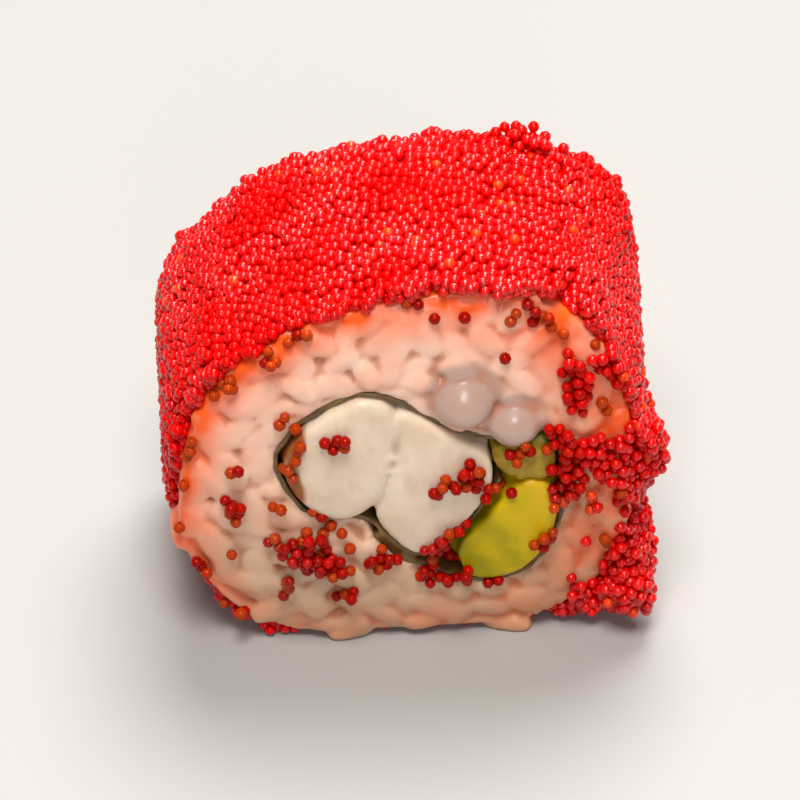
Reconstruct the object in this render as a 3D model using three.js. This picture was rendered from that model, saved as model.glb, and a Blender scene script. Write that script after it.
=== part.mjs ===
// One piece of a California roll, the inside-out kind of sushi roll, lying on its curved side.
//
// Two strips of crab meat, a wedge of avocado and a strip of cucumber lie side by side. A sheet of
// nori starts between the crab and the avocado, goes once round all of them and overlaps its own
// start. A thick wrap of rice goes round the nori, and a coat of fish roe covers the rice. Every
// layer runs through the piece from the front cut to the back cut, so each one is a closed solid.
//
// Millimetres, +Z up. The roll's axis lies along Y and the front cut faces -Y. The underside has
// settled flat, and the origin is at the middle of it.

import * as THREE from "three";

// Driving dimensions
const WIDTH = 41;
const HEIGHT = 37.5;
const THICKNESS = 23.5; // an eighth of a roll made on a 190 mm sheet of nori
const SETTLE = 1.9; // how much lower the roll has sunk on its flat underside
const COAT = 1.6; // two layers of roe
const UNDER_COAT = 1.0; // pressed flat underneath, to one layer
const NORI = 0.5;
const GAP = 0.3; // clearance between one layer and the next

// The outline across the roll: an arch over a squarer lower half, its top leaning to the right
const MIDDLE_X = -0.5;
const HALF_WIDTH = WIDTH / 2;
const WIDEST_Z = 15.3;
const ARCH_POWER = 2.3;
const BASE_POWER = 2.6;
const LEAN = 4.4;

// How the layers change round the roll and along it
const EDGE_ROUNDING = 0.5; // how far the coat draws in at the two cuts
const COAT_WAVES = [
  { height: 0.28, round: 3, along: 0.9, phase: 0.4 },
  { height: 0.2, round: 7, along: -1.7, phase: 2.0 },
  { height: 0.12, round: 13, along: 2.6, phase: 4.4 },
];
// Roe that has clumped on the coat: each lump has its middle and its spread, as shares u round the
// roll and t along it
const LUMPS = [
  { height: 4.2, u: 0.055, wide: 0.06, t: -0.85, long: 0.55 }, // at the foot on the right, in front
  { height: 0.8, u: 0.215, wide: 0.03, t: -0.8, long: 0.3 }, // half way up on the right, in front
  { height: 2.2, u: 0.34, wide: 0.09, t: 0.9, long: 0.9 }, // the right shoulder, at the back
];
const RICE_INSET = COAT + GAP + 0.4; // the rice's mean outside, with room for its waves
const RICE_WAVES = [
  { height: 0.22, round: 4, along: 1.3, phase: 1.1 },
  { height: 0.16, round: 9, along: -2.2, phase: 3.3 },
];
const FILLING_CENTRE = { x: 0.5, z: 16.3 };
const FILLING_RADIUS = 13.5; // the filling turns as one inside this radius
const CALM_RADIUS = 16.5; // and nothing turns outside this one
const TWIST = THREE.MathUtils.degToRad(8); // how far the filling has turned at the back cut
const CUT_SKEW = 0.022; // the knife's slant: the right side is this share thicker than the middle

// How far each layer stands out of the cuts, past the rice
const CRAB_PROUD = 0.4;
const AVOCADO_PROUD = 0.1;
const COAT_SHORT = 0.3;

// Resolution
const AROUND = 96;
const STATIONS = 6;
const FILLING_POINTS = 30;
const NORI_STEP = 0.8;

// The fillings, each a smooth closed outline through a few points [x, z] on the cut
const CRAB_LEFT = [
  [-10.5, 19.9], [-9.2, 22.8], [-6.5, 25.1], [-3.6, 26.1], [-1.9, 24.7],
  [-1.9, 21.2], [-2.6, 17.9], [-4.2, 14.9], [-6.8, 14.2], [-9.5, 16.6],
];
const CRAB_RIGHT = [
  [-1.2, 24.8], [1.1, 23.4], [3.8, 21.5], [5.7, 19.8], [6.0, 17.1], [4.3, 13.9],
  [2.1, 11.3], [0.2, 10.0], [-1.5, 11.5], [-3.0, 14.3], [-1.9, 17.9], [-1.2, 21.2],
];
const AVOCADO = [
  [3.8, 9.8], [5.7, 12.7], [7.4, 15.2], [9.2, 16.9], [10.9, 16.4],
  [11.4, 13.0], [10.2, 9.5], [7.9, 7.3], [4.9, 7.1],
];
const CUCUMBER = [
  [6.7, 20.4], [8.6, 21.0], [10.4, 21.5], [11.1, 19.7], [10.8, 18.0], [9.3, 17.6], [7.5, 18.3],
];

// The nori's path on the cut: its inner end lies between crab and avocado, then it rounds the tip
// of the crab and goes clockwise round the filling. The last points lie over its own start.
const NORI_INNER_END = [[7.1, 17.1], [5.3, 14.1], [3.4, 11.4], [2.0, 9.8], [0.6, 9.2]];
const NORI_START = [[-1.0, 10.0], [-2.5, 11.8]];
const NORI_ROUND = [
  [-4.1, 13.5], [-6.6, 13.6], [-8.9, 14.4], [-10.5, 16.9], [-11.4, 20.1], [-9.9, 23.2],
  [-6.9, 25.6], [-3.6, 26.7], [-1.0, 25.7], [1.6, 23.9], [4.2, 22.2], [6.6, 21.7],
  [8.4, 21.8], [10.2, 22.5], [11.5, 21.3], [12.0, 18.6], [12.1, 15.4], [11.8, 12.0],
  [10.5, 8.7], [8.4, 6.7], [5.6, 6.2], [3.2, 6.9],
];
const NORI_LAP = [[1.3, 8.0], [-0.5, 8.6], [-2.1, 9.8], [-3.4, 11.6]];

// A wavy height for the share u round the roll and the share t along it, from -1 to 1
function waves(list, u, t) {
  const turn = 2 * Math.PI * u;
  return list.reduce((sum, w) => sum + w.height * Math.sin(w.round * turn + w.along * t + w.phase), 0);
}

function lumps(u, t) {
  const rise = (l) => l.height * Math.exp(-(((u - l.u) / l.wide) ** 2) - ((t - l.t) / l.long) ** 2);
  return LUMPS.reduce((sum, lump) => sum + rise(lump), 0);
}

// The roll's outline drawn in by inset, from the right end of its flat underside (u = 0) over the
// top to the left end (u = 1), as [x, z]. The underside lies at floor. bump stands outwards, and
// only sideways below the widest part, so that nothing reaches under the floor.
function acrossRoll(u, inset, floor, bump) {
  const drop = WIDEST_Z + SETTLE - inset;
  const below = Math.asin(((WIDEST_Z - floor) / drop) ** (BASE_POWER / 2));
  const angle = THREE.MathUtils.lerp(-below, Math.PI + below, u);
  const above = Math.sin(angle) > 0;
  const power = 2 / (above ? ARCH_POWER : BASE_POWER);
  const full = above ? HEIGHT - WIDEST_Z - inset : drop;
  const across = (HALF_WIDTH - inset) * Math.sign(Math.cos(angle)) * Math.abs(Math.cos(angle)) ** power;
  const up = full * Math.sign(Math.sin(angle)) * Math.abs(Math.sin(angle)) ** power;
  const lean = above ? LEAN * (up / full) ** 4 : 0;
  const swell = 1 + (bump * (1 - (2 * u - 1) ** 20)) / Math.hypot(across, up);
  return [MIDDLE_X + across * swell + lean, WIDEST_Z + up * (above ? swell : 1)];
}

// The outline's points, closed by one straight edge along the underside
function outline(pointAt) {
  return Array.from({ length: AROUND }, (_, i) => pointAt(i / (AROUND - 1)));
}

function smoothCurve(points, closed) {
  return new THREE.CatmullRomCurve3(points.map(([x, z]) => new THREE.Vector3(x, 0, z)), closed);
}

function anticlockwise(points) {
  const flat = points.map(([x, z]) => new THREE.Vector2(x, z));
  return THREE.ShapeUtils.isClockWise(flat) ? points.toReversed() : points;
}

function fillingOutline(points) {
  const spaced = smoothCurve(points, true).getSpacedPoints(FILLING_POINTS).slice(0, -1);
  return anticlockwise(spaced.map((p) => [p.x, p.z]));
}

// The points of a curve, moved to the left of its direction, which is outwards for the nori's turn
function beside(curve, distance) {
  const count = Math.round(curve.getLength() / NORI_STEP);
  const places = Array.from({ length: curve.closed ? count : count + 1 }, (_, i) => i / count);
  return places.map((u) => {
    const p = curve.getPointAt(u);
    const along = curve.getTangentAt(u);
    return [p.x - distance * along.z, p.z + distance * along.x];
  });
}

function noriOutline() {
  const curve = smoothCurve([...NORI_INNER_END, ...NORI_START, ...NORI_ROUND, ...NORI_LAP], false);
  return anticlockwise([...beside(curve, NORI / 2), ...beside(curve, -NORI / 2).reverse()]);
}

// The rice meets the nori's outer side, with the step at the end of the lap
function riceInside() {
  return anticlockwise(beside(smoothCurve([...NORI_ROUND, ...NORI_LAP], true), NORI / 2 + GAP));
}

// Everything is modelled straight along Y. This gives the small twist of the filling and the
// slant of the two cuts, and leaves the outside and the underside where they are.
function settle([x, y, z]) {
  const t = y / (THICKNESS / 2);
  const dx = x - FILLING_CENTRE.x;
  const dz = z - FILLING_CENTRE.z;
  const share = 1 - THREE.MathUtils.smoothstep(Math.hypot(dx, dz), FILLING_RADIUS, CALM_RADIUS);
  const turn = TWIST * ((t + 1) / 2) * share;
  const cos = Math.cos(turn);
  const sin = Math.sin(turn);
  return [
    FILLING_CENTRE.x + dx * cos - dz * sin,
    y * (1 + (CUT_SKEW * x) / HALF_WIDTH),
    FILLING_CENTRE.z + dx * sin + dz * cos,
  ];
}

// One layer or filling: a solid along Y between two flat cuts. outlineAt gives its outline for the
// share t along the roll, and holeAt the hole that other layers fill, both anticlockwise as seen
// from the front.
function through(name, halfLength, color, roughness, outlineAt, holeAt = () => []) {
  const points = [];
  for (let j = 0; j < STATIONS; j++) {
    const t = (2 * j) / (STATIONS - 1) - 1;
    for (const [x, z] of [...outlineAt(t), ...holeAt(t)]) points.push([x, t * halfLength, z]);
  }
  const outlineCount = outlineAt(0).length;
  const count = points.length / STATIONS;
  const triangles = [];
  const wall = (first, size, outward) => {
    for (let j = 0; j < STATIONS - 1; j++) {
      for (let i = 0; i < size; i++) {
        const a = j * count + first + i;
        const b = j * count + first + ((i + 1) % size);
        const [from, to] = outward ? [b, a] : [a, b];
        triangles.push(from, to, to + count, from, to + count, from + count);
      }
    }
  };
  wall(0, outlineCount, true);
  wall(outlineCount, count - outlineCount, false);

  const flat = (list) => list.map(([x, z]) => new THREE.Vector2(x, z));
  const hole = flat(holeAt(-1));
  const faces = THREE.ShapeUtils.triangulateShape(flat(outlineAt(-1)), hole.length ? [hole] : []);
  const back = (STATIONS - 1) * count;
  for (const [a, b, c] of faces) triangles.push(a, b, c, back + a, back + c, back + b);

  const geometry = new THREE.BufferGeometry();
  geometry.setAttribute("position", new THREE.Float32BufferAttribute(points.map(settle).flat(), 3));
  geometry.setIndex(triangles);
  geometry.computeVertexNormals();
  const material = new THREE.MeshStandardMaterial({ color, roughness, metalness: 0 });
  const mesh = new THREE.Mesh(geometry, material);
  mesh.name = name;
  return mesh;
}

const half = THICKNESS / 2;

const coatOutside = (t) =>
  outline((u) => acrossRoll(u, EDGE_ROUNDING * t ** 6, 0, waves(COAT_WAVES, u, t) + lumps(u, t)));
const coatInside = () => outline((u) => acrossRoll(u, COAT, UNDER_COAT, 0));
const riceOutside = (t) =>
  outline((u) => acrossRoll(u, RICE_INSET, UNDER_COAT + GAP, waves(RICE_WAVES, u, t)));

const roll = new THREE.Group();
roll.add(
  through("roe_coat", half - COAT_SHORT, 0xe8160c, 0.25, coatOutside, coatInside),
  through("rice_wrap", half, 0xf0d9c4, 0.45, riceOutside, riceInside),
  through("nori_wrap", half, 0x2a2a12, 0.4, noriOutline),
  through("crab_left", half + CRAB_PROUD, 0xeadcc6, 0.4, () => fillingOutline(CRAB_LEFT)),
  through("crab_right", half + CRAB_PROUD, 0xeadcc6, 0.4, () => fillingOutline(CRAB_RIGHT)),
  through("avocado", half + AVOCADO_PROUD, 0xb4a61c, 0.35, () => fillingOutline(AVOCADO)),
  through("cucumber", half, 0x7d8a2a, 0.3, () => fillingOutline(CUCUMBER)),
);

// The origin is the middle of the flat underside
const box = new THREE.Box3().setFromObject(roll);
const centre = box.getCenter(new THREE.Vector3());
roll.position.set(-centre.x, -centre.y, -box.min.z);

export default roll;
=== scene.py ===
# One piece of a California roll on its side: real beads of roe and grains of rice over the frame's
# solids. Metres, +Z up, the roll's axis along Y, the front cut facing -Y.

import itertools
import math
import random

import bmesh
import bpy
import numpy as np
from mathutils import Matrix, Quaternion, Vector
from mathutils.bvhtree import BVHTree


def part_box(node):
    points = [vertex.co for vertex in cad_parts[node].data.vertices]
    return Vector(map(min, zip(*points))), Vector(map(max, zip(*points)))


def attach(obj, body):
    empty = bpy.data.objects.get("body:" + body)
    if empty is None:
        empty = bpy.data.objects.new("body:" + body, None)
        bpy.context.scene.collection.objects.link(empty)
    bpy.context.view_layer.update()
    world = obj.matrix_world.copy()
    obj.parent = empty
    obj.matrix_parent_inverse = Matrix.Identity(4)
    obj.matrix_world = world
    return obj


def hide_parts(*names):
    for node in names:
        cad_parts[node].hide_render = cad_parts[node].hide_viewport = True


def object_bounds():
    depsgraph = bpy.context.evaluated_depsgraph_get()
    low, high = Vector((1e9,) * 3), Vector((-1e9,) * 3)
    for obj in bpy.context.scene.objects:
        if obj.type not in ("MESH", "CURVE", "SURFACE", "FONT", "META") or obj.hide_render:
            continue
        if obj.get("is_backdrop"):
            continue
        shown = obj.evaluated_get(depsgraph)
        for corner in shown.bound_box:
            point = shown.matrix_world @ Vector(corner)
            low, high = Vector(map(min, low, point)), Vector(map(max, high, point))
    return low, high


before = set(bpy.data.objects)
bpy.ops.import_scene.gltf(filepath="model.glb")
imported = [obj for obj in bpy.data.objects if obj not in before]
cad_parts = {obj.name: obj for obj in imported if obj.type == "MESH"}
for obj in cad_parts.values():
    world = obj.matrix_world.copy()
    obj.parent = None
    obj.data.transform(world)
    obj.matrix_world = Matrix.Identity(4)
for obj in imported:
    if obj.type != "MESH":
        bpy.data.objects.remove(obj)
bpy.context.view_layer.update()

# ------------------------------------------------------------------------------------------------
# The rice: a thick wrap of cooked, sticky grains, pressed round the nori and cut through by a wet
# knife. Whole and cut grains lie in the two cut faces, and where the roe has come off the side,
# over a core of rice that is pressed so tight that its grains no longer show.

MM = 0.001
GRAIN_LENGTH, GRAIN_WIDTH = 5.4 * MM, 2.6 * MM
GRAIN_SPACING, SIDE_SPACING = 2.1 * MM, 2.2 * MM
# How far out a grain's middle lies from the cut, and from the side of the rice
GRAIN_DEEPEST, GRAIN_HIGHEST = -1.2 * MM, -0.5 * MM
SIDE_LOWEST, SIDE_HIGHEST = 0.3 * MM, 0.7 * MM
GRAIN_CUT = 0.3 * MM  # how unevenly the knife leaves the grains
CUT_IN = 0.8  # the share of what stands past its plane that the knife presses in
CORE_VOXEL, RICE_VOXEL = 0.5 * MM, 0.285 * MM
CORE_SWELL, CORE_SUNK = 0.45, 1.0  # mm that the core fills out sideways, and lies below its cuts
EVERYWHERE = 5e7  # points a square metre, more than any spacing here lets through
ROLL_MIDDLE = Vector((0.0, 0.0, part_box("roe_coat")[1].z / 2))
# How far the roe coat's edge falls short of a cut, and its waves: how high each of them is, how
# many go round the roll, and where they start
EDGE_SHORT, WAVE_HEIGHT = 0.1 * MM, 0.19 * MM
FRONT_WAVES = ((9, 1.0), (17, 2.6), (31, 0.4), (53, 5.0))
BACK_WAVES = ((8, 0.3), (19, 4.1), (29, 2.2), (47, 3.0))
# Where roe has come off by the front cut: degrees round the roll, their spread, and how many mm
# back it goes, or below 0 where the roe comes over the cut
BARE = (
    (199, 26, 3.0), (262, 24, 1.6), (50, 5, 2.2), (324, 12, -1.6), (4, 9, -0.7), (341, 8, 2.8),
    (298, 14, 1.7),
)
# How far the cuts' rims have rounded off, half their width and height, and their middle's height
RIM_BACK = 1.1 * MM
RIM_HALF_WIDTH, RIM_HALF_HEIGHT, RIM_MIDDLE = 19 * MM, 16.6 * MM, 17.6 * MM
FOOT = 8 * MM  # up to here the rim is held by what the piece stands on
# Swollen grains at the front cut: mm right of the rice's middle, mm up, half their width and
# height, and how proud they stand
SWOLLEN = ((4.4, 26.4, 2.6, 3.2, 1.2), (8.6, 23.3, 2.4, 2.5, 1.0), (14.2, 23.8, 2.3, 2.7, 0.5))
SWOLLEN_DEPTH = 2  # mm, half their size into the rice
SWOLLEN_TILT = math.radians(-38)  # their tops lie deeper in the rice


def solid_of(node, name):
    """A new object from a CAD node's solid, with its loose triangles joined up."""
    body = bmesh.new()
    body.from_mesh(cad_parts[node].data)
    bmesh.ops.remove_doubles(body, verts=body.verts, dist=0.002 * MM)
    return object_of(name, body)


def object_of(name, body):
    mesh = bpy.data.meshes.new(name)
    body.to_mesh(mesh)
    body.free()
    made = bpy.data.objects.new(name, mesh)
    bpy.context.collection.objects.link(made)
    return made


def bake(piece):
    """Turns the piece with its modifiers into a plain mesh."""
    bpy.context.view_layer.update()
    graph = bpy.context.evaluated_depsgraph_get()
    made = bpy.data.meshes.new_from_object(piece.evaluated_get(graph))
    piece.modifiers.clear()
    piece.data = made
    return piece


def remesh(piece, voxel):
    """Makes the piece's surface anew from small even faces, and joins what overlaps."""
    fine = piece.modifiers.new("fine", "REMESH")
    fine.mode = "VOXEL"
    fine.voxel_size = voxel
    return bake(piece)


def smooth(piece, factor, times):
    even = piece.modifiers.new("even", "SMOOTH")
    even.factor = factor
    even.iterations = times
    return bake(piece)


def copy_of(piece, name):
    made = bpy.data.objects.new(name, piece.data.copy())
    bpy.context.collection.objects.link(made)
    return made


def join(name, *parts):
    """One object with all the parts' faces, in place of the parts."""
    body = bmesh.new()
    for part in parts:
        body.from_mesh(part.data)
        bpy.data.objects.remove(part)
    return object_of(name, body)


def points_of(piece, what="co"):
    places = np.empty(len(piece.data.vertices) * 3)
    piece.data.vertices.foreach_get(what, places)
    return places.reshape(-1, 3)


def move_points(piece, places):
    piece.data.vertices.foreach_set("co", places.ravel())
    piece.data.update()


def mark(piece, name, values):
    """Stores a number for each of the piece's points, for its material or its growth to read."""
    layer = piece.data.attributes.new(name, "FLOAT", "POINT")
    layer.data.foreach_set("value", np.asarray(values, dtype=np.float32))


def marked(piece, name):
    values = np.empty(len(piece.data.vertices))
    piece.data.attributes[name].data.foreach_get("value", values)
    return values


def geometry_tree(name, **sizes):
    """A Geometry Nodes tree with a named input for each size. Returns it with its two end nodes."""
    tree = bpy.data.node_groups.new(name, "GeometryNodeTree")
    tree.interface.new_socket("Geometry", in_out="INPUT", socket_type="NodeSocketGeometry")
    for label, value in sizes.items():
        kind = value if isinstance(value, str) else {int: "Int", float: "Float"}[type(value)]
        socket = tree.interface.new_socket(label, in_out="INPUT", socket_type="NodeSocket" + kind)
        if not isinstance(value, str):
            socket.default_value = value
    tree.interface.new_socket("Geometry", in_out="OUTPUT", socket_type="NodeSocketGeometry")
    return tree, tree.nodes.new("NodeGroupInput").outputs, tree.nodes.new("NodeGroupOutput").inputs


def add(tree, kind, inputs=(), **settings):
    """A node with its inputs, by name or number, set to a value or joined to another's output."""
    made = tree.nodes.new(kind)
    for key, value in settings.items():
        setattr(made, key, value)
    for key, value in dict(inputs).items():
        if isinstance(value, bpy.types.NodeSocket):
            tree.links.new(value, made.inputs[key])
        else:
            made.inputs[key].default_value = value
    return made.outputs


def grow(piece, tree, **sizes):
    """Runs a Geometry Nodes tree on the piece, with these sizes."""
    growth = piece.modifiers.new("grow", "NODES")
    growth.node_group = tree
    for socket in tree.interface.items_tree:
        if socket.name in sizes:
            growth[socket.identifier] = sizes[socket.name]
    return bake(piece)


def math_of(tree, operation, *values, **settings):
    return add(tree, "ShaderNodeMath", enumerate(values), operation=operation, **settings)[0]


def vector_of(tree, operation, first, second):
    second_at = "Scale" if operation == "SCALE" else 1
    made = add(tree, "ShaderNodeVectorMath", {0: first, second_at: second}, operation=operation)
    return made["Value"] if operation == "DOT_PRODUCT" else made["Vector"]


def map_range(tree, value, low, high, to_low, to_high):
    return add(tree, "ShaderNodeMapRange", enumerate((value, low, high, to_low, to_high)))[0]


def random_float(tree, low, high, seed):
    return add(tree, "FunctionNodeRandomValue", {2: low, 3: high, "Seed": seed}, data_type="FLOAT")[1]


def named(tree, name):
    return add(tree, "GeometryNodeInputNamedAttribute", {"Name": name}, data_type="FLOAT")["Attribute"]


def spread_over(tree, surface, where, spacing, seed):
    """Evenly spaced points on the part of a surface that is marked."""
    return add(tree, "GeometryNodeDistributePointsOnFaces", {
        "Mesh": surface, "Selection": math_of(tree, "GREATER_THAN", named(tree, where), 0.5),
        "Distance Min": spacing, "Density Max": EVERYWHERE, "Seed": seed,
    }, distribute_method="POISSON")


def moved_out(tree, thing, distance, normal):
    offset = vector_of(tree, "SCALE", normal, distance)
    return add(tree, "GeometryNodeSetPosition", {"Geometry": thing, "Offset": offset})[0]


def shape_of(tree, thing):
    return add(tree, "GeometryNodeObjectInfo", {"Object": thing}, transform_space="ORIGINAL")["Geometry"]


def finished(tree, instances, material, result):
    """Ends a tree: the instances become one mesh with one material."""
    real = add(tree, "GeometryNodeRealizeInstances", {0: instances})[0]
    coloured = add(tree, "GeometryNodeSetMaterial", {"Geometry": real, "Material": material})[0]
    tree.links.new(coloured, result[0])


def grain_shape(name, length, width, rings, sides, blunt, bend):
    """A grain along X: blunt below 1 fills out its ends, and bend lifts them."""
    body = bmesh.new()
    loops = []
    for ring in range(1, rings):
        turn = math.pi * ring / rings
        x = -length / 2 * math.cos(turn)
        radius = width / 2 * math.sin(turn) ** blunt
        lift = bend * (2 * x / length) ** 2
        around = [2 * math.pi * side / sides for side in range(sides)]
        loops.append([
            body.verts.new((x, radius * math.cos(a), radius * math.sin(a) + lift)) for a in around
        ])
    ends = [body.verts.new((sign * length / 2, 0, bend)) for sign in (-1, 1)]
    for side in range(sides):
        after = (side + 1) % sides
        body.faces.new((ends[0], loops[0][after], loops[0][side]))
        body.faces.new((ends[1], loops[-1][side], loops[-1][after]))
        for near, far in zip(loops, loops[1:]):
            body.faces.new((near[side], near[after], far[after], far[side]))
    bmesh.ops.recalc_face_normals(body, faces=body.faces)
    return object_of(name, body)


def turn_of(places):
    """How far round the roll each place is, from the right over the top."""
    return np.arctan2(places[:, 2] - ROLL_MIDDLE.z, places[:, 0]) % (2 * math.pi)


def round_about(turn, middle, spread):
    """1 at the middle, in degrees round the roll, and falling to 0 past its spread."""
    return np.exp(-(((turn - math.radians(middle)) / math.radians(spread)) ** 2))


def coat_edge(places, front):
    """How far the roe coat's uneven edge falls short of a cut, at each place's turn."""
    turn = turn_of(places)
    waves = FRONT_WAVES if front else BACK_WAVES
    short = EDGE_SHORT + WAVE_HEIGHT * sum(np.sin(turn * times + start) for times, start in waves)
    for middle, spread, back in BARE if front else ():
        short += back * MM * round_about(turn, middle, spread)
    return short


def rim_back(places):
    """How far the rim of a cut is rounded off, less where the piece stands on it."""
    return RIM_BACK * (0.3 + 0.7 * np.clip(places[:, 2] / FOOT, 0, 1))


def rounded_rim(places):
    """How far each place is drawn back from its cut, where the rim is rounded off."""
    out = np.hypot(places[:, 0] / RIM_HALF_WIDTH, (places[:, 2] - RIM_MIDDLE) / RIM_HALF_HEIGHT)
    near_cut = np.clip(np.abs(places[:, 1]) / (8 * MM) - 0.5, 0, 1)
    return rim_back(places) * np.clip(out, 0, 1.15) ** 3 * near_cut


def cut_plane(node, front):
    """The knife's cut through a node: y = slope * x + middle."""
    places = np.array([v.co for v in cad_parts[node].data.vertices])
    low, high = places[:, 1].min(), places[:, 1].max()
    near = places[:, 1] < 0.7 * low if front else places[:, 1] > 0.7 * high
    return np.polyfit(places[near, 0], places[near, 1], 1)


# Grains in the cut faces: they lie along the nori and the coat where they are near them, and
# get shorter where there is less room
grains, given, result = geometry_tree(
    "grains in the cuts", Grain="Object", Nori="Object", Coat="Object", Material="Material",
    Spacing=1.0, Deepest=0.0, Highest=0.0, Shortest=0.5, Seed=1,
)
spots = spread_over(grains, given["Geometry"], "cut face", given["Spacing"], given["Seed"])
depth = random_float(grains, given["Deepest"], given["Highest"], 11)
placed = moved_out(grains, spots["Points"], depth, spots["Normal"])
edges = grains.nodes.new("GeometryNodeJoinGeometry")
for layer in ("Nori", "Coat"):
    grains.links.new(shape_of(grains, given[layer]), edges.inputs[0])
nearest = add(grains, "GeometryNodeProximity", {0: edges.outputs[0]}, target_element="FACES")
room = nearest["Distance"]
away = add(grains, "ShaderNodeSeparateXYZ", {
    0: vector_of(grains, "SUBTRACT", nearest["Position"], add(grains, "GeometryNodeInputPosition")[0]),
})
along_edge = math_of(grains, "ARCTAN2", away["X"], away["Z"])
freedom = map_range(grains, room, 0.6 * MM, 3.0 * MM, 0.25, 0.5 * math.pi)
spin = math_of(grains, "MULTIPLY_ADD", random_float(grains, -1.0, 1.0, 14), freedom, along_edge)
dip = map_range(grains, room, 1.0 * MM, 3.0 * MM, 0.2, 0.8)
turn = add(grains, "ShaderNodeCombineXYZ", {
    0: random_float(grains, -0.4, 0.4, 13), 1: spin,
    2: math_of(grains, "MULTIPLY", dip, random_float(grains, -1.0, 1.0, 15)),
})[0]
size = random_float(grains, 0.84, 1.12, 12)
length = map_range(grains, room, 0.4 * MM, 2.6 * MM, given["Shortest"], 1.0)
girth = math_of(grains, "MULTIPLY", size, map_range(grains, room, 0.3 * MM, 1.3 * MM, 0.8, 1.0))
laid = add(grains, "GeometryNodeInstanceOnPoints", {
    "Points": placed,
    "Instance": shape_of(grains, given["Grain"]),
    "Rotation": turn,
    "Scale": add(grains, "ShaderNodeCombineXYZ", {
        0: math_of(grains, "MULTIPLY", size, length), 1: girth, 2: girth,
    })[0],
})[0]
bitten = add(grains, "GeometryNodeStoreNamedAttribute", {
    "Geometry": laid, "Name": "cut", "Value": random_float(grains, -GRAIN_CUT, GRAIN_CUT, 16),
}, data_type="FLOAT", domain="INSTANCE")[0]
finished(grains, bitten, given["Material"], result)

# Grains that lie flat on the side of the rice, where no roe covers them
side_grains, given, result = geometry_tree(
    "grains on the side", Grain="Object", Material="Material", Spacing=1.0, Lowest=0.0, Highest=0.0,
    Seed=1,
)
spots = spread_over(side_grains, given["Geometry"], "bare", given["Spacing"], given["Seed"])
height = random_float(side_grains, given["Lowest"], given["Highest"], 17)
lifted = moved_out(side_grains, spots["Points"], height, spots["Normal"])
laid = add(side_grains, "GeometryNodeInstanceOnPoints", {
    "Points": lifted,
    "Instance": shape_of(side_grains, given["Grain"]),
    "Rotation": spots["Rotation"],
    "Scale": random_float(side_grains, 0.7, 0.85, 18),
})[0]
turned = add(side_grains, "ShaderNodeCombineXYZ", {2: random_float(side_grains, -1.5, 1.5, 19)})[0]
spun = add(side_grains, "GeometryNodeRotateInstances", {"Instances": laid, "Rotation": turned})[0]
finished(side_grains, spun, given["Material"], result)

rice_material = bpy.data.materials.new("moist rice")
knife_front, knife_back = cut_plane("rice_wrap", True), cut_plane("rice_wrap", False)
rice_grain = grain_shape(
    "rice_grain", GRAIN_LENGTH, GRAIN_WIDTH, rings=9, sides=10, blunt=0.75, bend=0.25 * MM,
)
core = remesh(solid_of("rice_wrap", "rice_core"), CORE_VOXEL)
places, normals = points_of(core), points_of(core, "normal")
wall = np.abs(normals[:, 1]) < 0.6
outer = ((places - np.array(ROLL_MIDDLE)) * (1, 0, 1) * normals).sum(1) > 8 * MM
behind_cut = places[:, 1] - np.polyval(knife_front, places[:, 0])
before_roe = (behind_cut > 0.5 * MM) & (behind_cut < coat_edge(places, True) - 0.8 * MM)
mark(core, "cut face", np.abs(normals[:, 1]) > 0.7)
mark(core, "bare", wall & outer & before_roe)
side = grow(
    copy_of(core, "side_grains"), side_grains, Grain=rice_grain, Material=rice_material,
    Spacing=SIDE_SPACING, Lowest=SIDE_LOWEST, Highest=SIDE_HIGHEST, Seed=3,
)
cut_grains = grow(
    copy_of(core, "cut_grains"), grains, Grain=rice_grain, Nori=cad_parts["nori_wrap"],
    Coat=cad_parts["roe_coat"], Material=rice_material, Spacing=GRAIN_SPACING,
    Deepest=GRAIN_DEEPEST, Highest=GRAIN_HIGHEST, Shortest=0.5, Seed=4,
)
swell = np.where(wall, CORE_SWELL, -CORE_SUNK)
move_points(core, places + normals * swell[:, None] * MM)

# The knife presses what stands past its plane nearly flat
cuts, places = marked(cut_grains, "cut"), points_of(cut_grains)
for plane, inwards in ((knife_front, 1), (knife_back, -1)):
    past = inwards * (np.polyval(plane, places[:, 0]) - places[:, 1]) + cuts
    places[:, 1] += inwards * np.maximum(past, 0) * CUT_IN
move_points(cut_grains, places)

# Three swollen grains by the nori, and then all the rice becomes one surface
rice_low, rice_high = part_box("rice_wrap")
rice_middle = (rice_low.x + rice_high.x) / 2
swollen = []
for right, up, half_width, half_height, proud in SWOLLEN:
    x = rice_middle + right * MM
    body = bmesh.new()
    bmesh.ops.create_icosphere(body, subdivisions=3, radius=1)
    bmesh.ops.scale(body, vec=Vector((half_width, SWOLLEN_DEPTH, half_height)) * MM, verts=body.verts)
    bmesh.ops.rotate(body, matrix=Matrix.Rotation(SWOLLEN_TILT, 3, "X"), verts=body.verts)
    middle = Vector((x, np.polyval(knife_front, x) + (SWOLLEN_DEPTH - proud) * MM, up * MM))
    bmesh.ops.translate(body, vec=middle, verts=body.verts)
    swollen.append((object_of("swollen_grain", body), middle, half_width * MM))
rice = join("rice", core, side, cut_grains, *(grain for grain, *_ in swollen))
smooth(remesh(rice, RICE_VOXEL), 0.5, 2)
places = points_of(rice)
places[:, 1] -= np.sign(places[:, 1]) * rounded_rim(places)
places[:, 2] = np.maximum(places[:, 2], 0.1 * MM)
move_points(rice, places)


def faces_of(*pieces):
    """The pieces' faces together, ready to be searched for the nearest one, or along a line."""
    corners, faces = [], []
    for piece in pieces:
        first = len(corners)
        corners += [v.co for v in piece.data.vertices]
        faces += [[first + i for i in f.vertices] for f in piece.data.polygons]
    return BVHTree.FromPolygons(corners, faces)


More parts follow.
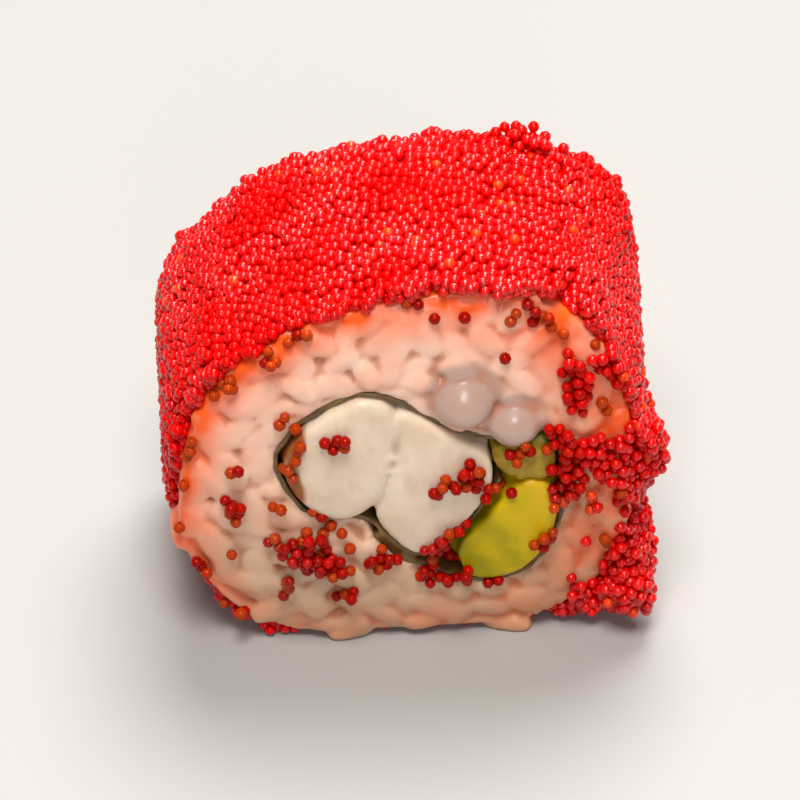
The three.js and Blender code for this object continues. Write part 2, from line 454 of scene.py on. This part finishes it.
def distances(places, *pieces):
    """How far each place is from the nearest of the pieces' faces."""
    nearest = faces_of(*pieces)
    return np.array([nearest.find_nearest(Vector(p))[3] for p in places])


def hollows(piece, rounds):
    """How far each point lies below its surroundings, in a groove, or above them, where below 0."""
    ends = np.empty(len(piece.data.edges) * 2, dtype=np.int64)
    piece.data.edges.foreach_get("vertices", ends)
    one, other = ends.reshape(-1, 2).T
    count = np.bincount(ends, minlength=len(piece.data.vertices))
    places = mean = points_of(piece)
    for _ in range(rounds):
        mean = np.stack([
            (np.bincount(one, axis[other], len(count)) + np.bincount(other, axis[one], len(count))) / count
            for axis in mean.T
        ], axis=1)
    return ((mean - places) * points_of(piece, "normal")).sum(1)


def shader_of(material, **settings):
    """Gives a material its Principled shader's own values. Returns its tree and the shader's inputs."""
    material.use_nodes = True
    shader = material.node_tree.nodes["Principled BSDF"]
    for label, value in settings.items():
        shader.inputs[label.replace("_", " ")].default_value = value
    return material.node_tree, shader.inputs


def shader_group(name, output, **values):
    """A shader node group with a named number for each value, and one output."""
    group = bpy.data.node_groups.new(name, "ShaderNodeTree")
    for label, value in values.items():
        socket = group.interface.new_socket(label, in_out="INPUT", socket_type="NodeSocketFloat")
        socket.default_value = value
    kind = "Vector" if output == "Normal" else "Float"
    group.interface.new_socket(output, in_out="OUTPUT", socket_type="NodeSocket" + kind)
    return group, group.nodes.new("NodeGroupInput").outputs, group.nodes.new("NodeGroupOutput").inputs[0]


def use(tree, group, **values):
    made = tree.nodes.new("ShaderNodeGroup")
    made.node_tree = group
    for label, value in values.items():
        made.inputs[label].default_value = value
    return made.outputs[0]


def noise_in(tree, place, **settings):
    return add(tree, "ShaderNodeTexNoise", {"Vector": place, **settings})[0]


def object_place(tree):
    return add(tree, "ShaderNodeTexCoord")["Object"]


patches, given, result = shader_group("patches", "Share", Scale=500.0, Detail=2.0, Low=0.0, High=1.0)
noise = noise_in(patches, object_place(patches), Scale=given["Scale"], Detail=given["Detail"])
patches.links.new(map_range(patches, noise, 0.33, 0.67, given["Low"], given["High"]), result)

grit, given, result = shader_group("fine unevenness", "Normal", Scale=1500.0, Detail=2.0, Height=0.1 * MM)
noise = noise_in(grit, object_place(grit), Scale=given["Scale"], Detail=given["Detail"])
grit.links.new(add(grit, "ShaderNodeBump", {"Height": noise, "Distance": given["Height"]})[0], result)


def srgb(red, green, blue):
    """A colour given as 0 to 255 in each of red, green and blue."""
    shares = [value / 255 for value in (red, green, blue)]
    return (*(((v + 0.055) / 1.055) ** 2.4 if v > 0.04 else v / 12.92 for v in shares), 1.0)


def mix(tree, share, first, second):
    """The first colour, and as much of the second as the share says."""
    return add(tree, "ShaderNodeMix", {0: share, 6: first, 7: second}, data_type="RGBA")[2]


def attribute(tree, name):
    return add(tree, "ShaderNodeAttribute", attribute_name=name)["Fac"]


def ends_in(piece, material, slot, *nodes):
    """Gives the finished piece its material and smooth shading, hangs it on the root, and hides the CAD
    parts it stands for.
    """
    piece.data.materials.clear()
    piece.data.materials.append(material)
    piece.data.shade_smooth()
    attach(piece, "root")
    if nodes:
        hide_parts(*nodes)


# Roe juice has stained the rice near the coat, further on the right and less underneath. Its grooves
# between grains are darker, partly from the juice and partly as painted shade. Low down and on the
# right the rice is painted darker, as painted shade. The two swollen grains nearest the middle have
# gone clear.
places = points_of(rice)
reach = 4.1 * MM + np.clip(places[:, 0] / 2.6, 0, 4.6 * MM)
near_roe = 1 - distances(places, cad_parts["roe_coat"]) / reach
underneath = np.clip(1 - places[:, 2] / (13 * MM), 0, 1) * np.clip(3.5 - places[:, 0] / (7 * MM), 0, 1)
mark(rice, "stain", np.clip(near_roe, 0, 1) ** 1.2 * (1 - 0.8 * underneath))
# Painted shade: how much darker the rice is painted, low down and on the right
shaded = 1 - places[:, 2] / (24 * MM) + 0.5 * np.clip(places[:, 0] / (8 * MM) - 0.8, 0, 1)
mark(rice, "low", np.clip(shaded, 0, 1))
mark(rice, "groove", np.clip(hollows(rice, 10) / (0.12 * MM), 0, 1))
clear = np.max([
    1.2 - np.linalg.norm(places - np.array(middle), axis=1) / half / 1.2 for _, middle, half in swollen[:2]
], axis=0)
mark(rice, "clear", np.clip(clear * 4, 0, 1))

# Light passes a little way into moist rice, and starch and vinegar leave it with a soft shine
tree, shader = shader_of(
    rice_material, Roughness=0.34, Subsurface_Weight=0.5, Subsurface_Radius=(1.0, 0.5, 0.3),
    Subsurface_Scale=1.4 * MM, Coat_Roughness=0.18, IOR=1.38,
)
plain = mix(tree, use(tree, patches, Scale=330.0, Detail=3.0), srgb(248, 188, 160), srgb(255, 210, 188))
# Painted shade: the rice is painted darker low down and on the right
plain = mix(tree, math_of(tree, "MULTIPLY", attribute(tree, "low"), 0.9), plain, srgb(186, 160, 124))
plain = mix(tree, attribute(tree, "clear"), plain, srgb(190, 158, 144))
# Darker grooves between grains: partly roe juice, partly painted shade
soaked_and_shaded = mix(tree, math_of(tree, "MULTIPLY", attribute(tree, "groove"), 0.8), plain, srgb(192, 120, 84))
uneven = use(tree, patches, Scale=260.0, Low=0.5, High=1.5)
stain = math_of(tree, "MULTIPLY", attribute(tree, "stain"), uneven)
tree.links.new(mix(tree, stain, soaked_and_shaded, srgb(250, 96, 26)), shader["Base Color"])
tree.links.new(math_of(tree, "MULTIPLY_ADD", attribute(tree, "clear"), 0.8, 0.2), shader["Coat Weight"])
tree.links.new(use(tree, grit, Scale=2600.0, Height=0.03 * MM), shader["Normal"])
ends_in(rice, rice_material, "rice", "rice_wrap")

# ------------------------------------------------------------------------------------------------
# The nori: one sheet of dried seaweed that the moist rice has softened, wound round the filling.
# The knife leaves its edge a little torn, and it lies a little lower than the rice.

NORI_VOXEL = 0.25 * MM
# How many mm its edge is torn, how many it lies back from the cut, and how deep its creases are
TORN, SHRUNK, CREASED = 0.2, 0.45, 0.06

nori = remesh(solid_of("nori_wrap", "nori"), NORI_VOXEL)
places, normals = points_of(nori), points_of(nori, "normal")
at_cut = np.clip((np.abs(places[:, 1]) - 10.6 * MM) / MM, 0, 1)
torn = np.sin(places[:, 0] * 1500 + 2 * np.sin(places[:, 2] * 700)) * np.sin(places[:, 2] * 1900 + 1)
creased = np.sin(places[:, 0] * 1100 + places[:, 1] * 300) * np.sin(places[:, 2] * 1300)
places[:, 1] += np.sign(places[:, 1]) * at_cut * (torn * TORN - SHRUNK) * MM
places += normals * (creased * CREASED - CREASED)[:, None] * MM
move_points(nori, places)
nori_material = bpy.data.materials.new("damp seaweed")
tree, shader = shader_of(nori_material, Roughness=0.4, Coat_Weight=0.3, Coat_Roughness=0.25)
olive = mix(tree, use(tree, patches, Scale=450.0, Detail=3.0), srgb(66, 52, 20), srgb(124, 92, 42))
tree.links.new(olive, shader["Base Color"])
tree.links.new(use(tree, grit, Scale=1800.0, Detail=3.0, Height=0.1 * MM), shader["Normal"])
ends_in(nori, nori_material, "nori", "nori_wrap")

# ------------------------------------------------------------------------------------------------
# The crab: two strips of white meat that have been pressed into one, cut across their long fibres
# and swollen a little at the cut. The left one is browner along its left side, next to the nori.

FILLING_VOXEL = 0.27 * MM
# How far from the roll's middle the layers still press tight on each other, and where they stop
PRESSED, LOOSE = 8 * MM, 10.6 * MM
WIDEST_GAP = 4.5 * MM  # the widest gap that the filling closes between the cuts


def filling(node, name, *beside, swell, dome):
    """A strip of filling: swollen a little, pressed against what is beside it, and domed at its cuts."""
    strip = remesh(solid_of(node, name), FILLING_VOXEL)
    low, high = (np.array(v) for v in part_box(node))
    places, normals = points_of(strip), points_of(strip, "normal")
    off = (places - (low + high) / 2) / ((high - low) / 2)  # 1 at the strip's ends and sides
    at_cut = np.clip((np.abs(off[:, 1]) - 0.9) / 0.08, 0, 1)
    round_off = 1 - np.clip(off[:, 0] ** 2 + off[:, 2] ** 2, 0, 1)
    places += normals * swell * (np.abs(normals[:, 1:2]) < 0.6)
    places[:, 1] += np.sign(off[:, 1]) * at_cut * dome * (round_off - 0.4)
    others = faces_of(*beside)
    tight = np.clip((LOOSE - np.abs(places[:, 1])) / (LOOSE - PRESSED), 0, 1)
    for i in np.flatnonzero(tight):
        outward = Vector(normals[i] * (1, 0, 1)).normalized()
        _, facing, _, gap = others.ray_cast(Vector(places[i]), outward, WIDEST_GAP)
        if gap is not None and facing.dot(outward) < 0:
            places[i] += outward * gap * tight[i] * min(2 - 2 * gap / WIDEST_GAP, 1)
    move_points(strip, places)
    return smooth(strip, 0.5, 3)


crab_material = bpy.data.materials.new("crab meat")
tree, shader = shader_of(
    crab_material, Roughness=0.36, Subsurface_Weight=0.5, Subsurface_Radius=(1.0, 0.7, 0.45),
    Subsurface_Scale=1.5 * MM, Coat_Weight=0.2, Coat_Roughness=0.2, IOR=1.38,
)
along_fibres = add(tree, "ShaderNodeMapping", {
    "Vector": object_place(tree), "Scale": (1.0, 0.12, 0.55), "Rotation": (0, 0.6, 0),
})[0]
fibres = noise_in(tree, along_fibres, Scale=900.0, Detail=4.0, Distortion=0.4)
meat = mix(tree, use(tree, patches, Scale=230.0), srgb(226, 202, 176), srgb(240, 220, 198))
meat = mix(tree, map_range(tree, fibres, 0.5, 0.7, 0.0, 0.3), meat, srgb(206, 178, 146))
# Painted shade: the meat is painted darker in its grooves, such as the seam between the strips
meat = mix(tree, attribute(tree, "groove"), meat, srgb(150, 122, 88))
uneven = use(tree, patches, Scale=420.0, Detail=3.0, Low=-0.2, High=0.2)
# Browner along the left strip's left side, next to the nori
browned_by_nori = map_range(tree, math_of(tree, "ADD", attribute(tree, "skin"), uneven), 0.35, 0.85, 0.0, 1.0)
tree.links.new(mix(tree, browned_by_nori, meat, srgb(160, 92, 40)), shader["Base Color"])
ridges = add(tree, "ShaderNodeBump", {"Height": fibres, "Distance": 0.08 * MM})[0]
tree.links.new(ridges, shader["Normal"])
crab = join("crab_meat", *(
    filling(node, node + "_meat", nori, swell=0.3 * MM, dome=0.5 * MM)
    for node in ("crab_left", "crab_right")
))
smooth(remesh(crab, FILLING_VOXEL), 0.5, 4)
# How deep in a groove each point lies, for the painted shade there
mark(crab, "groove", np.clip(hollows(crab, 10) / (0.2 * MM) - 0.2, 0, 1))
places = points_of(crab)
# Where the left strip is browner: along its left side, next to the nori
to_left = np.clip(-8 - places[:, 0] / MM, 0, 1)
beside_nori = places * (1, 0.85, 1)  # the nori ends before the cut does
by_nori = 1.9 - distances(beside_nori, nori) / (1.2 * MM)
mark(crab, "skin", np.clip(by_nori, 0, 1) * to_left)
ends_in(crab, crab_material, "crab", "crab_left", "crab_right")

# ------------------------------------------------------------------------------------------------
# The avocado: a wedge of ripe flesh, peeled and sliced lengthwise, olive where the skin was and
# yellow towards the stone. It is soft, and swells a little at its cuts.

avocado = filling("avocado", "avocado_wedge", nori, crab, swell=0.25 * MM, dome=0.3 * MM)
low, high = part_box("avocado")
places = (points_of(avocado) - low) / (high - low)
mark(avocado, "ripeness", places[:, 0] * 0.6 + places[:, 2] * 0.4)
avocado_material = bpy.data.materials.new("ripe avocado")
tree, shader = shader_of(
    avocado_material, Roughness=0.3, Subsurface_Weight=0.35, Subsurface_Radius=(1.0, 0.8, 0.2),
    Subsurface_Scale=1.0 * MM, Specular_IOR_Level=0.25,
)
uneven = use(tree, patches, Scale=350.0, Detail=3.0, Low=-0.2, High=0.2)
shade = math_of(tree, "ADD", attribute(tree, "ripeness"), uneven)
green = mix(tree, map_range(tree, shade, 0.15, 0.55, 0.0, 1.0), srgb(158, 146, 0), srgb(204, 176, 0))
ripe = mix(tree, map_range(tree, shade, 0.6, 0.95, 0.0, 1.0), green, srgb(222, 180, 30))
tree.links.new(ripe, shader["Base Color"])
tree.links.new(use(tree, grit, Scale=900.0, Detail=3.0, Height=0.07 * MM), shader["Normal"])
ends_in(avocado, avocado_material, "avocado", "avocado")

# ------------------------------------------------------------------------------------------------
# The cucumber: a thin strip sliced lengthwise, with its dark skin upwards, glassy and moist. It
# is firm, so the knife leaves its ends flat.

cucumber = filling(
    "cucumber", "cucumber_strip", nori, crab, avocado, swell=0.4 * MM, dome=0.05 * MM,
)
low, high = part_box("cucumber")
mark(cucumber, "skin", (points_of(cucumber)[:, 2] - low.z) / (high.z - low.z))
cucumber_material = bpy.data.materials.new("cucumber flesh")
tree, shader = shader_of(
    cucumber_material, Roughness=0.4, Subsurface_Weight=0.4, Subsurface_Radius=(0.8, 1.0, 0.3),
    Subsurface_Scale=1.2 * MM, Specular_IOR_Level=0.3,
)
uneven = use(tree, patches, Scale=500.0, Low=-0.15, High=0.15)
rind = map_range(tree, math_of(tree, "ADD", attribute(tree, "skin"), uneven), 0.7, 0.9, 0.0, 1.0)
flesh = mix(tree, use(tree, patches, Scale=800.0), srgb(150, 122, 14), srgb(180, 150, 46))
tree.links.new(mix(tree, rind, flesh, srgb(80, 80, 18)), shader["Base Color"])
tree.links.new(use(tree, grit, Scale=1200.0, Height=0.05 * MM), shader["Normal"])
ends_in(cucumber, cucumber_material, "cucumber", "cucumber")

# ------------------------------------------------------------------------------------------------
# The roe coat: capelin roe, beads of 1 mm with a thin wet skin, that stick to the rice in two
# layers. The lower layer is one bed with the tops of its beads on it, and the upper layer is
# loose beads. Those that the piece stands on are pressed a little flat.

BEAD = 0.98 * MM
BEAD_SPACING, BED_SPACING = 0.75 * MM, 0.82 * MM
BED_BEAD, BED_SUNK = 0.54 * MM, 1.02 * MM  # how big the bed's beads are, and how deep they lie
BED_VOXEL = 0.3 * MM
ON_PLATE = 0.35 * MM  # what lies lower than this is underneath
TAPER = 6 * MM  # how far from a cut the coat begins to draw back from it
ANY_TURN = (6.3, 6.3, 6.3)  # radians, a whole turn about each axis
# Where the coat is thin: degrees round the roll, their spread, and how many mm thinner it is by
# the front cut and by the back cut
THIN = ((198, 23, 1.1, 0.55), (54, 17, 0.0, 1.2))


def beads_on(tree, points, bead, seed):
    """Sets a bead on each point, each of its own size and shade."""
    any_way = add(
        tree, "FunctionNodeRandomValue", {1: ANY_TURN, "Seed": seed + 1}, data_type="FLOAT_VECTOR",
    )
    set_down = add(tree, "GeometryNodeInstanceOnPoints", {
        "Points": points, "Instance": shape_of(tree, bead), "Rotation": any_way[0],
        "Scale": random_float(tree, 0.9, 1.08, seed + 2),
    })[0]
    return add(tree, "GeometryNodeStoreNamedAttribute", {
        "Geometry": set_down, "Name": "shade", "Value": random_float(tree, 0.0, 1.0, seed + 3),
    }, data_type="FLOAT", domain="INSTANCE")[0]


# The bed: its surface rises to a bead's round top about each of a set of points
relief, given, result = geometry_tree(
    "tops of roe", Material="Material", Spacing=1.0, Radius=1.0, Sunk=1.0, Seed=1,
)
tops = spread_over(relief, given["Geometry"], "outside", given["Spacing"], given["Seed"])["Points"]
far = add(relief, "GeometryNodeProximity", {0: tops}, target_element="POINTS")["Distance"]
squares = [math_of(relief, "POWER", length, 2.0) for length in (given["Radius"], far)]
height = math_of(relief, "SQRT", math_of(relief, "MAXIMUM", math_of(relief, "SUBTRACT", *squares), 0.0))
sunken = math_of(relief, "SUBTRACT", height, given["Sunk"])
rise = math_of(relief, "MULTIPLY", named(relief, "outside"), sunken)
raised = moved_out(relief, given["Geometry"], rise, add(relief, "GeometryNodeInputNormal")[0])
finished(relief, raised, given["Material"], result)

# The loose layer: a bead at each of a set of points, sunk a little into the bed
coating, given, result = geometry_tree(
    "roe coat", Bead="Object", Material="Material", Spacing=1.0, Deepest=0.0, Highest=0.0, Seed=1,
)
found = spread_over(coating, given["Geometry"], "loose", given["Spacing"], given["Seed"])
depth = random_float(coating, given["Deepest"], given["Highest"], 21)
stuck = moved_out(coating, found["Points"], depth, found["Normal"])
finished(coating, beads_on(coating, stuck, given["Bead"], 22), given["Material"], result)

# A bead has few faces, so its corners stand out a little from the sphere
body = bmesh.new()
bmesh.ops.create_cube(body, size=1)
bmesh.ops.subdivide_edges(body, edges=body.edges, cuts=1, use_grid_fill=True)
for corner in body.verts:
    corner.co = corner.co.normalized() * BEAD / 2 * 1.05
roe_bead = object_of("roe_bead", body)

# The coat tapers off unevenly towards both cuts, and is thinner where roe has come off
coat_surface = remesh(solid_of("roe_coat", "roe_bed"), BED_VOXEL)
places, normals = points_of(coat_surface), points_of(coat_surface, "normal")
faces_out = ((places - np.array(ROLL_MIDDLE)) * (1, 0, 1) * normals).sum(1) > -4 * MM
outside = faces_out | (np.abs(places[:, 1]) > 9.6 * MM)
mark(coat_surface, "outside", outside)
on_plate = places[:, 2] < ON_PLATE
low, high = places[:, 1].min(), places[:, 1].max()
by_front = np.clip(1 - (places[:, 1] - low) / TAPER, 0, 1)
by_back = np.clip(1 - (high - places[:, 1]) / TAPER, 0, 1)
bared = np.maximum(coat_edge(places, True) - 0.9 * MM, 0)
inwards = (np.array(ROLL_MIDDLE) - places) * (1, 0, 1)
inwards /= np.linalg.norm(inwards, axis=1)[:, None]
thin = np.zeros(len(places))
for middle, spread, *depths in THIN:
    at_front, at_back = (depth * MM for depth in depths)
    depth = at_front + (at_back - at_front) * (places[:, 1] - low) / (high - low)
    thin += depth * round_about(turn_of(places), middle, spread)
places[:, 1] += (coat_edge(places, True) + 0.8 * rim_back(places)) * by_front
places[:, 1] -= (coat_edge(places, False) + 0.8 * rim_back(places)) * by_back
places += inwards * (by_front * bared * 0.6 + thin)[:, None]
move_points(coat_surface, places)

roe_material = bpy.data.materials.new("fish roe")
beads, pressed = copy_of(coat_surface, "roe_beads"), copy_of(coat_surface, "roe_underneath")
for piece, where, deepest, highest in (
    (beads, outside & ~on_plate, -0.6 * MM, -0.2 * MM),
    (pressed, outside & on_plate, -0.5 * MM, -0.38 * MM),
):
    mark(piece, "loose", where)
    grow(
        piece, coating, Bead=roe_bead, Material=roe_material, Spacing=BEAD_SPACING,
        Deepest=deepest, Highest=highest, Seed=7,
    )
bed = grow(
    coat_surface, relief, Material=roe_material, Spacing=BED_SPACING, Radius=BED_BEAD, Sunk=BED_SUNK,
    Seed=8,
)

# Beads differ in tone, and a few are amber. Loose ones are painted darker, as painted shade, and
# gleam less as they dry out. The bed is duller.
tree, shader = shader_of(
    roe_material, Subsurface_Weight=0.5, Subsurface_Radius=(1.0, 0.03, 0.02),
    Subsurface_Scale=0.8 * MM, Coat_Roughness=0.16, IOR=1.33, Specular_IOR_Level=0.25,
)
shade, dryness_and_shade = attribute(tree, "shade"), attribute(tree, "dryness_and_shade")
# Painted shade: loose beads are painted darker
deep = mix(tree, dryness_and_shade, srgb(200, 1, 0), srgb(148, 8, 0))
red = mix(tree, shade, deep, mix(tree, dryness_and_shade, srgb(234, 3, 1), srgb(196, 14, 1)))
amber = math_of(tree, "MULTIPLY", shade, use(tree, patches, Scale=150.0, Low=0.88, High=1.02))
amber = math_of(tree, "MULTIPLY_ADD", dryness_and_shade, 0.1, amber)
amber = math_of(tree, "MULTIPLY_ADD", attribute(tree, "lone"), 0.6, amber)
amber = map_range(tree, amber, 0.94, 0.96, 0.0, 1.0)
brown = mix(tree, dryness_and_shade, srgb(240, 62, 6), srgb(174, 58, 6))
tree.links.new(mix(tree, amber, red, brown), shader["Base Color"])
sheltered = attribute(tree, "bed")
gleam = math_of(tree, "MULTIPLY_ADD", dryness_and_shade, -0.8, use(tree, patches, Scale=140.0, Low=0.0, High=1.1))
tree.links.new(math_of(tree, "SUBTRACT", gleam, sheltered, use_clamp=True), shader["Coat Weight"])
tree.links.new(math_of(tree, "MULTIPLY_ADD", sheltered, 0.4, 0.16), shader["Roughness"])


def rest_on_plate(piece):
    """Flattens what would reach below the plate."""
    places = points_of(piece)
    places[:, 2] = np.maximum(places[:, 2], 0.0)
    move_points(piece, places)


for piece in (bed, beads, pressed):
    rest_on_plate(piece)
    ends_in(piece, roe_material, "roe", "roe_coat")
mark(bed, "shade", np.full(len(bed.data.vertices), 0.4))
mark(bed, "bed", np.ones(len(bed.data.vertices)))

# ------------------------------------------------------------------------------------------------
# Loose roe: beads that have come off the coat and lie strewn over the two cuts, singly and in
# small heaps. They are thickest on the right of the front cut and at its foot.

# Heaps on the front cut: mm right of the rice's middle, mm up, how many beads, how stretched, and
# their slant in degrees
HEAPS = (
    (-8.2, 10.0, 24, 1.5, -35), (-10.8, 11.5, 5, 2.2, -10), (-7.1, 12.5, 6, 2.2, 10),
    (-5.7, 8.9, 4, 1.6, -40), (-2.5, 9.3, 9, 1.8, 0), (-4.9, 10.7, 1, 1, 0),
    (-10.0, 6.5, 5, 2.2, 90), (-5.4, 5.6, 3, 1.5, 0), (2.6, 17.7, 5, 1.4, 60),
    (4.3, 18.6, 13, 1.5, 10), (7.0, 16.5, 5, 1.8, -20), (3.2, 12.1, 11, 3.0, 40),
    (2.4, 9.7, 7, 1.6, 30), (3.3, 7.3, 16, 1.8, -10), (6.6, 6.0, 2, 1, 0),
    (-10.1, 24.9, 2, 1, 0), (-6.0, 23.1, 6, 1.7, 45), (-9.1, 21.9, 3, 1.5, 60),
    (-8.5, 23.7, 2, 1.5, 30), (-9.9, 19.8, 3, 2.0, 80), (-11.3, 15.6, 2, 1, 0),
    (-7.9, 14.9, 2, 1, 0), (11.0, 11.2, 5, 1.8, 60), (9.0, 20.7, 5, 1.5, 70),
    (7.7, 30.2, 1, 1, 0), (1.9, 34.1, 1, 1, 0), (4.5, 34.1, 1, 1, 0), (-14.6, 19.2, 2, 1, 0),
    (-14.6, 15.7, 6, 2.2, -70), (-11.3, 15.7, 1, 1, 0), (-14.7, 10.2, 1, 1, 0),
    (13.4, 27.0, 18, 2.2, -80), (15.0, 28.9, 18, 1.8, -10), (12.5, 21.2, 16, 1.6, -60),
    (12.7, 17.6, 22, 1.8, -80), (12.7, 14.9, 6, 1.5, 0), (15.0, 20.0, 26, 1.8, 0),
    (17.7, 19.2, 34, 1.4, 60), (18.7, 15.8, 24, 1.8, 80), (16.8, 28.0, 10, 1.5, -60),
    (15.0, 14.7, 3, 2.0, -80), (18.1, 8.2, 24, 1.6, 80), (18.4, 5.2, 28, 1.4, 0),
    (18.2, 2.3, 24, 1.8, 0), (17.8, 4.6, 8, 1.8, 0), (-17.2, 8.2, 4, 1.8, -60),
    (-14.6, 3.8, 4, 2.0, -40),
)
BACK_HEAPS, RIM_HEAPS = 40, 54  # small ones anywhere on the back cut, and round the rims of both
# Clumps on the coat: degrees round the roll, mm back, how many beads, and how many on each other
CLUMPS = (
    (57.5, 9.0, 34, 1), (57.5, 9.0, 18, 2), (49, 8.5, 8, 1), (30, 4.0, 5, 1), (-4, -10.8, 60, 1),
    (1, -9.8, 30, 1), (-10, -10.4, 24, 1), (-31, -10.8, 46, 1), (-39, -10.8, 46, 1),
    (-42, -10.9, 20, 2), (-26, -9.0, 12, 1),
)
CUT_AT, COAT_AT = 11.7, 20  # mm, about how far the cuts and the coat lie from the roll's middle
WEDGED = 0.2 * MM  # how deep a bead sits where it has caught in a crack
DEEPEST = 4 * MM  # a bead that would fall deeper catches in the crack, or is left out
SEATED = 0.3 * BEAD  # how high a bead's middle lies over what it has stuck to
TOUCHING = 0.85 * BEAD  # how near the middles of two beads come
FRONTWARDS, BACKWARDS = Vector((0, -1, 0)), Vector((0, 1, 0))

skin = faces_of(rice, nori, crab, avocado, cucumber, bed)
rng = random.Random(12)
dropped = []  # each bead's middle, how much it lies by itself, and how dry it is and how much painted shade it has


def heap_of(count, stretch):
    """Where a heap's beads lie round its middle: packed close, and a few of them on the others."""
    pitch, turn = 0.88 * BEAD, rng.uniform(0, math.pi / 3)
    reach = int(math.sqrt(count * stretch)) + 2
    spots = []
    for row, column in itertools.product(range(-reach, reach + 1), repeat=2):
        across, along = pitch * (column + row / 2), pitch * row * math.sqrt(3) / 2
        a = across * math.cos(turn) - along * math.sin(turn) + rng.gauss(0, 0.07 * BEAD)
        b = across * math.sin(turn) + along * math.cos(turn) + rng.gauss(0, 0.07 * BEAD)
        spots.append((math.hypot(a / stretch, b) * rng.uniform(0.8, 1.2), a, b))
    lower = [(a, b) for _, a, b in sorted(spots)[:count]]
    return lower + [(a + pitch / 2, b + pitch / 3) for a, b in lower[: count // 3]]


def strew(spot, facing, count, stretch=1.0, slant=0.0, dryness_and_shade=1.0, tall=1):
    """Drops a heap's beads one by one on what they face. Each comes to lie on those before it."""
    side = Vector((0, 0, 1)).cross(facing).normalized()
    side.rotate(Quaternion(facing, slant))
    other = facing.cross(side)
    for a, b in heap_of(count, stretch):
        over = spot + side * a + other * b
        hit = skin.ray_cast(over + facing * 50 * MM, -facing)[0]
        bottom = -WEDGED
        if hit is not None and (hit - over).dot(facing) > -DEEPEST:
            bottom = (hit - over).dot(facing) + SEATED
        elif skin.find_nearest(over - facing * WEDGED, 0.8 * BEAD)[0] is None:
            continue
        taken = []
        for centre, *_ in dropped:
            rise = (centre - over).dot(facing)
            apart = (centre - over - facing * rise).length
            if apart < TOUCHING:
                clearance = math.sqrt(TOUCHING**2 - apart**2)
                taken.append((rise - clearance, rise + clearance))
        height = bottom
        for under, above in sorted(taken):
            if under < height < above:
                height = above
        if height < bottom + 0.95 * tall * BEAD:
            dropped.append((over + facing * height, min(max(1.2 - count / 10, 0), 1), dryness_and_shade))


strewing, given, result = geometry_tree("strewn roe", Bead="Object", Material="Material")
finished(strewing, beads_on(strewing, given["Geometry"], given["Bead"], 32), given["Material"], result)


def on_cut(right, up, facing):
    return Vector((rice_middle + right * MM, facing.y * CUT_AT * MM, up * MM))


for right, up, count, stretch, slant in HEAPS:
    # Heaps further left on the front cut are painted darker, as painted shade, and gleam less
    dryness_and_shade = min(max((15 - right) / 3, 0.2), 1)
    strew(on_cut(right, up, FRONTWARDS), FRONTWARDS, count, stretch, math.radians(slant), dryness_and_shade)
for _ in range(BACK_HEAPS):
    spot = on_cut(rng.uniform(-17, 17), rng.uniform(3, 34), BACKWARDS)
    strew(spot, BACKWARDS, rng.choice((1, 1, 2, 3, 4, 6)), rng.uniform(1, 2), rng.uniform(0, math.pi))
rim = points_of(rice)
rim = rim[(np.abs(rim[:, 1]) > 10 * MM) & (rim[:, 2] > 6 * MM) & (near_roe > 0.76)]
for spot in rng.sample(list(rim), RIM_HEAPS):
    strew(Vector(spot), FRONTWARDS if spot[1] < 0 else BACKWARDS, rng.choice((1, 1, 2, 3)))
for turn, y, count, tall in CLUMPS:
    facing = Vector((math.cos(math.radians(turn)), 0, math.sin(math.radians(turn))))
    spot = ROLL_MIDDLE + facing * COAT_AT * MM + Vector((0, y * MM, 0))
    strew(spot, facing, count, dryness_and_shade=0.0, tall=tall)

body = bmesh.new()
for centre, *_ in dropped:
    body.verts.new(centre)
strays = object_of("roe_strays", body)
mark(strays, "lone", [lone for _, lone, _ in dropped])
mark(strays, "dryness_and_shade", [dryness_and_shade for *_, dryness_and_shade in dropped])
grow(strays, strewing, Bead=roe_bead, Material=roe_material)
rest_on_plate(strays)
ends_in(strays, roe_material, "roe")

for tool in (rice_grain, roe_bead):
    bpy.data.objects.remove(tool)

# ------------------------------------------------------------------------------------------------
# The stage: a plain pale floor, a broad light high up behind, a weaker one high up in front and a
# small one in front that glints on the roe. The camera looks down on the piece from in front.

AIM = Vector((rice_middle, 0.0, 16.6 * MM))


def towards(azimuth, elevation):
    """The direction to something seen at this azimuth, from the front, and elevation."""
    a, e = math.radians(azimuth), math.radians(elevation)
    return Vector((math.sin(a) * math.cos(e), -math.cos(a) * math.cos(e), math.sin(e)))


def place_at(name, thing, azimuth, elevation, distance):
    made = bpy.data.objects.new(name, thing)
    made.location = AIM + towards(azimuth, elevation) * distance
    made.rotation_euler = towards(azimuth, elevation).to_track_quat("Z", "Y").to_euler()
    bpy.context.collection.objects.link(made)
    return made


def light(name, azimuth, elevation, size, power, colour):
    lamp = bpy.data.lights.new(name, "AREA")
    lamp.shape, lamp.size, lamp.energy, lamp.color = "DISK", size, power, colour
    place_at(name, lamp, azimuth, elevation, 0.7)


body = bmesh.new()
bmesh.ops.create_grid(body, size=1.0)
floor = object_of("floor", body)
floor_material = bpy.data.materials.new("pale floor")
shader_of(floor_material, Roughness=0.6, Base_Color=srgb(168, 166, 163))
floor.data.materials.append(floor_material)
floor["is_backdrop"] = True
light("key", 163, 64, 0.42, 6.6, (1.0, 0.98, 0.95))
light("fill", -10, 70, 0.3, 4.6, (1.0, 0.96, 0.92))
light("glint", 4, 30, 0.22, 0.8, (1.0, 1.0, 1.0))

world = bpy.data.worlds.new("studio")
world.use_nodes = True
world.node_tree.nodes["Background"].inputs["Color"].default_value = (0.95, 0.97, 1.0, 1.0)
world.node_tree.nodes["Background"].inputs["Strength"].default_value = 0.22
bpy.context.scene.world = world
bpy.context.scene.view_settings.view_transform = "Standard"

camera_data = bpy.data.cameras.new("camera")
camera_data.lens = 270
bpy.context.scene.camera = place_at("camera", camera_data, -4, 40, 0.5)

low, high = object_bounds()
